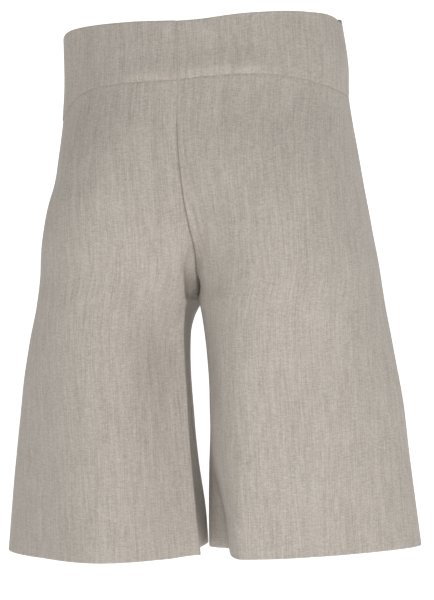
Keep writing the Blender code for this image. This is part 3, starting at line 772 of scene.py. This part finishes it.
for side in SIDES:
    for face in FACES:
        make_leg_panel(side, face)


# ---- Waistband ---------------------------------------------------------------------------
# A deep shaped band in two halves, seamed at the centre back. Each half is two layers of
# linen, so it stands a little out of the panels; it is deeper over the hips.

BAND_PROUD = 0.0008
BAND_BACKING = 0.0012
BACKING_ROLL = 0.3         # share of the roll that the inner layer takes up
BAND_WIDTH_DROP = 0.04     # columns are spaced by the half round here
BAND_FULL = 0.0022         # it fills out a little above its lower seam, over the seat
FULL_TO = {"left": 0.085, "right": 0.125}
FULL_FADE = 0.05
FULL_RISE = 0.009          # from the seam up, it fills out over this much
FULL_TOP = 0.034           # and it is flat again here, after fading over this much
FULL_FALL = 0.025
CENTRE_EDGE = (1.3, 0.0011)     # how much each edge rolls, and how far in
SEAM_EDGE = (0.3, 0.0009)
CRISP_SEAM = 0.5           # more roll where the band fills out
TOP_EDGE = (0.8, 0.0009)


def edge_roll(away, edge, more=0.0):
    """How much of the roll there is at a distance from an edge."""
    amount, width = edge
    return (amount + more) * np.exp(-(away / width) ** 2)


def make_waistband(side):
    """One half of the waistband, from the centre back round to the centre front."""
    stretches = []
    reach = 0.0
    for face in FACES:
        width = runs(half_sections(side, face, np.array([BAND_WIDTH_DROP])))[1][0]
        edge = np.array(EDGE_STEPS)
        middle = np.linspace(edge[-1], width, round(width / MAIN_STEP))
        places = 1.0 - np.concatenate((edge[:-1], middle)) / width
        along = (places if face == "back" else places[::-1][1:])[None, :]
        top = band_edge("top", side, along)
        bottom = band_edge("seam", side, along)
        share = (spread(BAND_DEPTH) / BAND_DEPTH)[:, None]
        drop = top + (bottom - top) * share
        points, run, _ = cloth(side, face, along, drop)
        if face == "back":
            from_centre = run[:, :1] - run
            across = from_centre
            reach = from_centre[:, -1:]
        else:
            from_centre = run[:, -1:] - run
            across = reach + run
        stretches.append((points, across, drop, drop - top, bottom - drop, from_centre))
    points, across, drop, from_top, from_bottom, from_centre = (
        np.concatenate(parts, axis=1) for parts in zip(*stretches))
    sign = SIDES[side] * -1.0
    out = outward(points, sign)
    crisp = ease((FULL_TO[side] - across) / FULL_FADE)
    roll = (edge_roll(from_centre, CENTRE_EDGE)
            + edge_roll(from_bottom, SEAM_EDGE, CRISP_SEAM * crisp)
            + edge_roll(from_top, TOP_EDGE))
    full = ease(from_bottom / FULL_RISE) * ease((FULL_TOP - from_bottom) / FULL_FALL)
    lift = BAND_PROUD + BAND_FULL * crisp * full - SEAM_ROLL * roll
    outer = points + lift[..., None] * out
    inner = points - (BAND_BACKING - BACKING_ROLL * SEAM_ROLL * roll)[..., None] * out
    band = shell_object(f"waistband_{side}_half", outer, inner, across, drop, sign < 0, linen)
    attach(band, "root")
    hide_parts(f"waistband_{side}")


for side in SIDES:
    make_waistband(side)


# ---- Fly and waistband tab ---------------------------------------------------------------
# The fly lap is a strip of linen stitched down over the zip, straight and then rounded in
# to the centre seam. Above it one end of the waistband laps over the other.

FLY_WIDTH = 0.036
FLY_LAP = 0.005
FLY_BOTTOM = 0.200
FLY_CURVE = 0.040
FLY_COLUMNS = 24
STRAIGHT_ROWS = 32
TURN_ROWS = 22
TAB_START = 0.020
TAB_END = 0.028
TAB_ROWS = 36
TAB_COLUMNS = 26
EDGE_THIN = (0.55, 0.9)    # share of the thickness at the edge and one step in
LAP_LIFT = 0.0003
LAP_THICK = 0.0009
TAB_LIFT = 0.0014          # over the band, which stands proud itself
TAB_THICK = 0.0016


def front_points(places, drops):
    """Points on the front, by their distance right of the centre seam and by drop."""
    places, drops = np.broadcast_arrays(places, drops)
    points = np.zeros((*places.shape, 3))
    for side, here in (("left", places < 0), ("right", places >= 0)):
        if here.any():
            lengths = runs(half_sections(side, "front", drops[here]))[1]
            along = 1.0 - np.abs(places[here]) / lengths
            points[here] = cloth(side, "front", along, drops[here])[0]
    return points


def laid_on_front(name, drop, start, end, lift, thickness, columns):
    """A strip of cloth that lies on the front, made from the front's own points."""
    places = -start[:, None] + (start + end)[:, None] * np.linspace(0.0, 1.0, columns + 1)[None, :]
    drops = np.broadcast_to(drop[:, None], places.shape)
    points = front_points(places, drops)
    out = outward(points, 1.0)
    rows, columns = places.shape
    edge = np.minimum.outer(np.minimum(np.arange(rows), np.arange(rows)[::-1]),
                            np.minimum(np.arange(columns), np.arange(columns)[::-1]))
    top = np.where(edge == 0, EDGE_THIN[0], np.where(edge == 1, EDGE_THIN[1], 1.0))
    outer = points + (lift + thickness * top)[..., None] * out
    inner = points + lift * out
    return shell_object(name, outer, inner, places, drops, False, linen)


straight = np.linspace(BAND_DEPTH + 0.0006, FLY_BOTTOM - FLY_CURVE, STRAIGHT_ROWS)
turn = np.linspace(0.0, math.pi / 2, TURN_ROWS)[1:]
fly_drop = np.concatenate((straight, FLY_BOTTOM - FLY_CURVE + FLY_CURVE * np.sin(turn)))
fly_start = np.concatenate((np.full(len(straight), FLY_WIDTH), FLY_WIDTH * np.cos(turn)))
fly = laid_on_front("fly_lap", fly_drop, fly_start, np.full(len(fly_drop), FLY_LAP),
                    LAP_LIFT, LAP_THICK, FLY_COLUMNS)
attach(fly, "root")
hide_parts("fly_flap")

tab_drop = np.linspace(0.0003, BAND_DEPTH, TAB_ROWS)
tab = laid_on_front("waistband_lap", tab_drop, np.full(TAB_ROWS, TAB_START),
                    np.full(TAB_ROWS, TAB_END), TAB_LIFT, TAB_THICK, TAB_COLUMNS)
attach(tab, "root")
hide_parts("waistband_tab")


# ---- Button ------------------------------------------------------------------------------
# A four-hole button of dark brown resin, turned with a raised rim and tumbled to a satin.

def button_material():
    """Satin cast resin, dark brown with faint clouds of lighter brown."""
    material, tree, shader = new_material("tumbled_resin_button")
    place = add_node(tree, "ShaderNodeTexCoord").outputs["Object"]
    clouds = add_node(tree, "ShaderNodeTexNoise", [
        ("Vector", place), ("Scale", 260.0), ("Detail", 3.0), ("Distortion", 1.2)])
    ramp = add_node(tree, "ShaderNodeValToRGB", [("Fac", clouds.outputs["Fac"])])
    stops = ramp.color_ramp.elements
    stops[0].position, stops[0].color = 0.35, linear("6e5d49")
    stops[1].position, stops[1].color = 0.70, linear("9a8669")
    tree.links.new(ramp.outputs["Color"], shader.inputs["Base Color"])
    shader.inputs["Roughness"].default_value = 0.38
    return material


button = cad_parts["waist_button"]
button.data.materials.clear()
button.data.materials.append(button_material())


# ---- Stitches ----------------------------------------------------------------------------
# Spun polyester thread in the colour of the cloth, a little paler: the rounded row that
# holds the fly lap, the row round the waistband lap, the buttonhole, and the button's thread.

THREAD = 0.00038
STITCH_LENGTH = 0.0026
STITCH_PITCH = 0.0030
FLY_ROW_IN = 0.004         # rows lie this far inside the edges
TAB_ROW_IN = 0.002
BUTTON_OUT = 0.013
BUTTON_DROP = 0.031
BUTTON_UNDER = 0.0034      # its back stands this far over the front
BUTTON_WELL = 0.0024       # its face inside the rim, over its back
HOLE_OUT = 0.0017          # the holes stand this far from the middle, across and down
BUTTONHOLE = (-0.0035, 0.0160)
BUTTONHOLE_ROW = 0.0011    # each row of the buttonhole, above and below the cut
BUTTONHOLE_END = 0.0017    # its ends are sewn over this far above and below
PURL_WIDTH = 0.0016
PURL_PITCH = 0.00042
THREAD_LIFT = 0.0002       # of the crossed thread, over the face of the button
THREAD_DOWN = 0.0012       # it starts this far over the back of the button, in the holes
TAB_ROW_POINTS = 24
SMALL_STEP = 0.001         # to find the directions of the cloth


def thread_material():
    """Smooth thread: paler and a little shinier than the linen, so that rows show as dots."""
    material, _, shader = new_material("spun_polyester_thread")
    shader.inputs["Base Color"].default_value = linear("c3bcb2")
    shader.inputs["Roughness"].default_value = 0.55
    shader.inputs["Sheen Weight"].default_value = 0.10
    return material


def stitches_tree():
    """Nodes that set equal stitches along a path, each flat on the cloth under it."""
    tree = bpy.data.node_groups.new("stitches_along_a_path", "GeometryNodeTree")
    tree.interface.new_socket("Path", in_out="INPUT", socket_type="NodeSocketGeometry")
    for name in ("Pitch", "Length", "Width", "Height"):
        tree.interface.new_socket(name, in_out="INPUT", socket_type="NodeSocketFloat")
    tree.interface.new_socket("Thread", in_out="INPUT", socket_type="NodeSocketMaterial")
    tree.interface.new_socket("Stitches", in_out="OUTPUT", socket_type="NodeSocketGeometry")
    given = add_node(tree, "NodeGroupInput").outputs
    line = add_node(tree, "GeometryNodeMeshToCurve", [("Mesh", given["Path"])]).outputs["Curve"]
    even = add_node(tree, "GeometryNodeResampleCurve", [
        ("Curve", line), ("Length", given["Pitch"])], mode="LENGTH")
    run = add_node(tree, "GeometryNodeInputTangent").outputs["Tangent"]
    out = add_node(tree, "GeometryNodeInputNamedAttribute", [("Name", "out")],
                   data_type="FLOAT_VECTOR")
    along = add_node(tree, "FunctionNodeAlignRotationToVector", [("Vector", run)], axis="X")
    flat = add_node(tree, "FunctionNodeAlignRotationToVector", [
        ("Rotation", along.outputs["Rotation"]), ("Vector", out.outputs["Attribute"])],
        axis="Z", pivot_axis="X")
    size = add_node(tree, "ShaderNodeCombineXYZ", [
        ("X", given["Length"]), ("Y", given["Width"]), ("Z", given["Height"])])
    bead = add_node(tree, "GeometryNodeMeshUVSphere", [
        ("Segments", 8), ("Rings", 5), ("Radius", 0.5)])
    placed = add_node(tree, "GeometryNodeInstanceOnPoints", [
        ("Points", even.outputs["Curve"]), ("Instance", bead.outputs["Mesh"]),
        ("Rotation", flat.outputs["Rotation"]), ("Scale", size.outputs["Vector"])])
    real = add_node(tree, "GeometryNodeRealizeInstances", [
        ("Geometry", placed.outputs["Instances"])])
    dyed = add_node(tree, "GeometryNodeSetMaterial", [
        ("Geometry", real.outputs["Geometry"]), ("Material", given["Thread"])])
    add_node(tree, "NodeGroupOutput", [("Stitches", dyed.outputs["Geometry"])])
    return tree


STITCHES = stitches_tree()
thread = thread_material()


def stitched(name, paths, **sizes):
    """Stitches along one or more paths. Each path is its points and the directions out there."""
    points = np.concatenate([path for path, _ in paths])
    out = np.concatenate([direction for _, direction in paths])
    edges, first = [], 0
    for path, _ in paths:
        edges += [(first + i, first + i + 1) for i in range(len(path) - 1)]
        first += len(path)
    data = bpy.data.meshes.new(name + "_path")
    data.from_pydata(points.tolist(), edges, [])
    data.attributes.new("out", "FLOAT_VECTOR", "POINT").data.foreach_set("vector", out.ravel())
    item = bpy.data.objects.new(name, data)
    modifier = item.modifiers.new("stitches", "NODES")
    modifier.node_group = STITCHES
    sizes["Thread"] = thread
    for socket in STITCHES.interface.items_tree:
        if socket.name in sizes:
            modifier[socket.identifier] = sizes[socket.name]
    bpy.context.scene.collection.objects.link(item)
    ready = item.evaluated_get(bpy.context.evaluated_depsgraph_get())
    made = bpy.data.meshes.new_from_object(ready)
    item.modifiers.clear()
    item.data = made
    made.name = name
    made.shade_smooth()
    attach(item, "root")


def over_front(places, drops, lift):
    """Points over the front at distances right of its centre seam, and the directions out."""
    places, drops = np.broadcast_arrays(np.asarray(places, float), np.asarray(drops, float))
    middle = front_points(places, drops)
    across = front_points(places + SMALL_STEP, drops) - middle
    down = front_points(places, drops + SMALL_STEP) - middle
    out = np.cross(across, down)
    out /= np.linalg.norm(out, axis=1)[:, None]
    return middle + lift * out, out


fly_row = over_front(
    (FLY_ROW_IN - FLY_WIDTH) * np.concatenate((np.ones(STRAIGHT_ROWS), np.cos(turn))),
    np.concatenate((straight, FLY_BOTTOM - FLY_CURVE + (FLY_CURVE - FLY_ROW_IN) * np.sin(turn))),
    LAP_LIFT + LAP_THICK)
row = np.linspace(0.0, 1.0, TAB_ROW_POINTS)
left, right = 0.0005 - TAB_START, TAB_END - TAB_ROW_IN
high, low = TAB_ROW_IN + 0.0004, BAND_DEPTH - TAB_ROW_IN
level = np.ones(TAB_ROW_POINTS)
tab_row = over_front(
    np.concatenate((left + (right - left) * row, right * level, right - (right - left) * row)),
    np.concatenate((high * level, high + (low - high) * row, low * level)),
    TAB_LIFT + TAB_THICK)
stitched("lap_stitches", [fly_row, tab_row],
         Pitch=STITCH_PITCH, Length=STITCH_LENGTH, Width=THREAD, Height=THREAD)

hole_from, hole_to = BUTTONHOLE
cut = np.linspace(hole_from, hole_to, 20)
end_row = BUTTON_DROP + np.linspace(-BUTTONHOLE_END, BUTTONHOLE_END, 6)
purl = [over_front(cut, BUTTON_DROP + row_aside, TAB_LIFT + TAB_THICK)
        for row_aside in (-BUTTONHOLE_ROW, BUTTONHOLE_ROW)]
purl += [over_front(end, end_row, TAB_LIFT + TAB_THICK) for end in BUTTONHOLE]
stitched("buttonhole_stitches", purl,
         Pitch=PURL_PITCH, Length=THREAD, Width=PURL_WIDTH, Height=THREAD)

bars = []
button_at = np.full(1, BUTTON_OUT)
middle, out = (found[0] for found in over_front(button_at, BUTTON_DROP, BUTTON_UNDER))
below = over_front(button_at, BUTTON_DROP + 2 * SMALL_STEP, BUTTON_UNDER)[0][0]
down = (below - middle) / np.linalg.norm(below - middle)
aside = np.cross(down, out)
for lean in (-1.0, 1.0):
    ends = [middle + HOLE_OUT * turned * (aside + lean * down) for turned in (-1.0, 1.0)]
    path = [ends[0] + THREAD_DOWN * out, ends[0] + (BUTTON_WELL + THREAD_LIFT) * out,
            ends[1] + (BUTTON_WELL + THREAD_LIFT) * out, ends[1] + THREAD_DOWN * out]
    bars.append((np.array(path), np.tile(out, (4, 1))))
stitched("button_thread", bars, Pitch=0.0004, Length=0.0009, Width=0.0007, Height=0.0006)


# ---- Studio ------------------------------------------------------------------------------
# A pale floor that curves up into a wall, and large soft lights.

FLOOR = -1.06
WALL_AT = 4.6
WALL_TOP = 5.0
WALL_CURVE = 1.0
CURVE_BITS = 16
PAPER_FRONT = -6.0
PAPER_HALF = 8.0           # half its width
PAPER_GLOW = 0.52


def studio_material():
    """Smooth white paper that glows a little, so that it shows as an even white."""
    material, _, shader = new_material("white_backdrop_paper")
    shader.inputs["Base Color"].default_value = linear("f6f6f5")
    shader.inputs["Roughness"].default_value = 0.9
    shader.inputs["Emission Color"].default_value = (1.0, 1.0, 1.0, 1.0)
    shader.inputs["Emission Strength"].default_value = PAPER_GLOW
    return material


profile = [(PAPER_FRONT, FLOOR)]
for step in range(CURVE_BITS + 1):
    angle = math.pi / 2 * step / CURVE_BITS
    profile.append((WALL_AT - WALL_CURVE + WALL_CURVE * math.sin(angle),
                    FLOOR + WALL_CURVE - WALL_CURVE * math.cos(angle)))
profile.append((WALL_AT, WALL_TOP))
paper = bmesh.new()
for x in (-PAPER_HALF, PAPER_HALF):
    for y, z in profile:
        paper.verts.new((x, y, z))
paper.verts.ensure_lookup_table()
for i in range(len(profile) - 1):
    paper.faces.new([paper.verts[j] for j in (i, i + len(profile), i + len(profile) + 1, i + 1)])
paper_mesh = bpy.data.meshes.new("backdrop")
paper.to_mesh(paper_mesh)
paper.free()
paper_mesh.shade_smooth()
paper_mesh.materials.append(studio_material())
backdrop = bpy.data.objects.new("backdrop", paper_mesh)
bpy.context.scene.collection.objects.link(backdrop)
backdrop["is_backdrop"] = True

world = bpy.data.worlds.new("studio")
bpy.context.scene.world = world
world.use_nodes = True
world.node_tree.nodes["Background"].inputs["Color"].default_value = (1.0, 1.0, 1.0, 1.0)
world.node_tree.nodes["Background"].inputs["Strength"].default_value = 0.45


def area_light(name, place, aim, size, power):
    """A large square soft light."""
    data = bpy.data.lights.new(name, "AREA")
    data.shape = "SQUARE"
    data.size = size
    data.energy = power
    lamp = bpy.data.objects.new(name, data)
    lamp.location = place
    lamp.rotation_mode = "QUATERNION"
    lamp.rotation_quaternion = (Vector(aim) - Vector(place)).to_track_quat("-Z", "Y")
    bpy.context.scene.collection.objects.link(lamp)


LIGHT_AIM = (0.0, 0.0, -0.35)
LIGHT_SIZE = 1.0
area_light("key", (1.15, -1.5, -0.80), LIGHT_AIM, LIGHT_SIZE, 10.2)
area_light("front", (0.35, -1.85, -0.85), LIGHT_AIM, LIGHT_SIZE, 7.0)
area_light("fill", (-1.2, -1.2, 0.80), LIGHT_AIM, LIGHT_SIZE, 1.8)

camera_data = bpy.data.cameras.new("camera")
camera_data.lens = 120.0
camera_data.sensor_width = 36.0
camera = bpy.data.objects.new("camera", camera_data)
CAMERA_AZIMUTH = math.radians(14.0)
CAMERA_DISTANCE = 2.3
CAMERA_PITCH = math.radians(2.06)
CAMERA_ASIDE = 0.0138
CAMERA_HEIGHT = -0.2277
back = Vector((math.sin(CAMERA_AZIMUTH), -math.cos(CAMERA_AZIMUTH), 0.0))
right = Vector((math.cos(CAMERA_AZIMUTH), math.sin(CAMERA_AZIMUTH), 0.0))
camera.location = (back * CAMERA_DISTANCE + right * CAMERA_ASIDE
                   + Vector((0.0, 0.0, CAMERA_HEIGHT)))
camera.rotation_mode = "QUATERNION"
aim = -back * math.cos(CAMERA_PITCH) - Vector((0.0, 0.0, math.sin(CAMERA_PITCH)))
camera.rotation_quaternion = aim.to_track_quat("-Z", "Y")
bpy.context.scene.collection.objects.link(camera)
bpy.context.scene.camera = camera
bpy.context.scene.view_settings.view_transform = "Standard"

low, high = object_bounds()
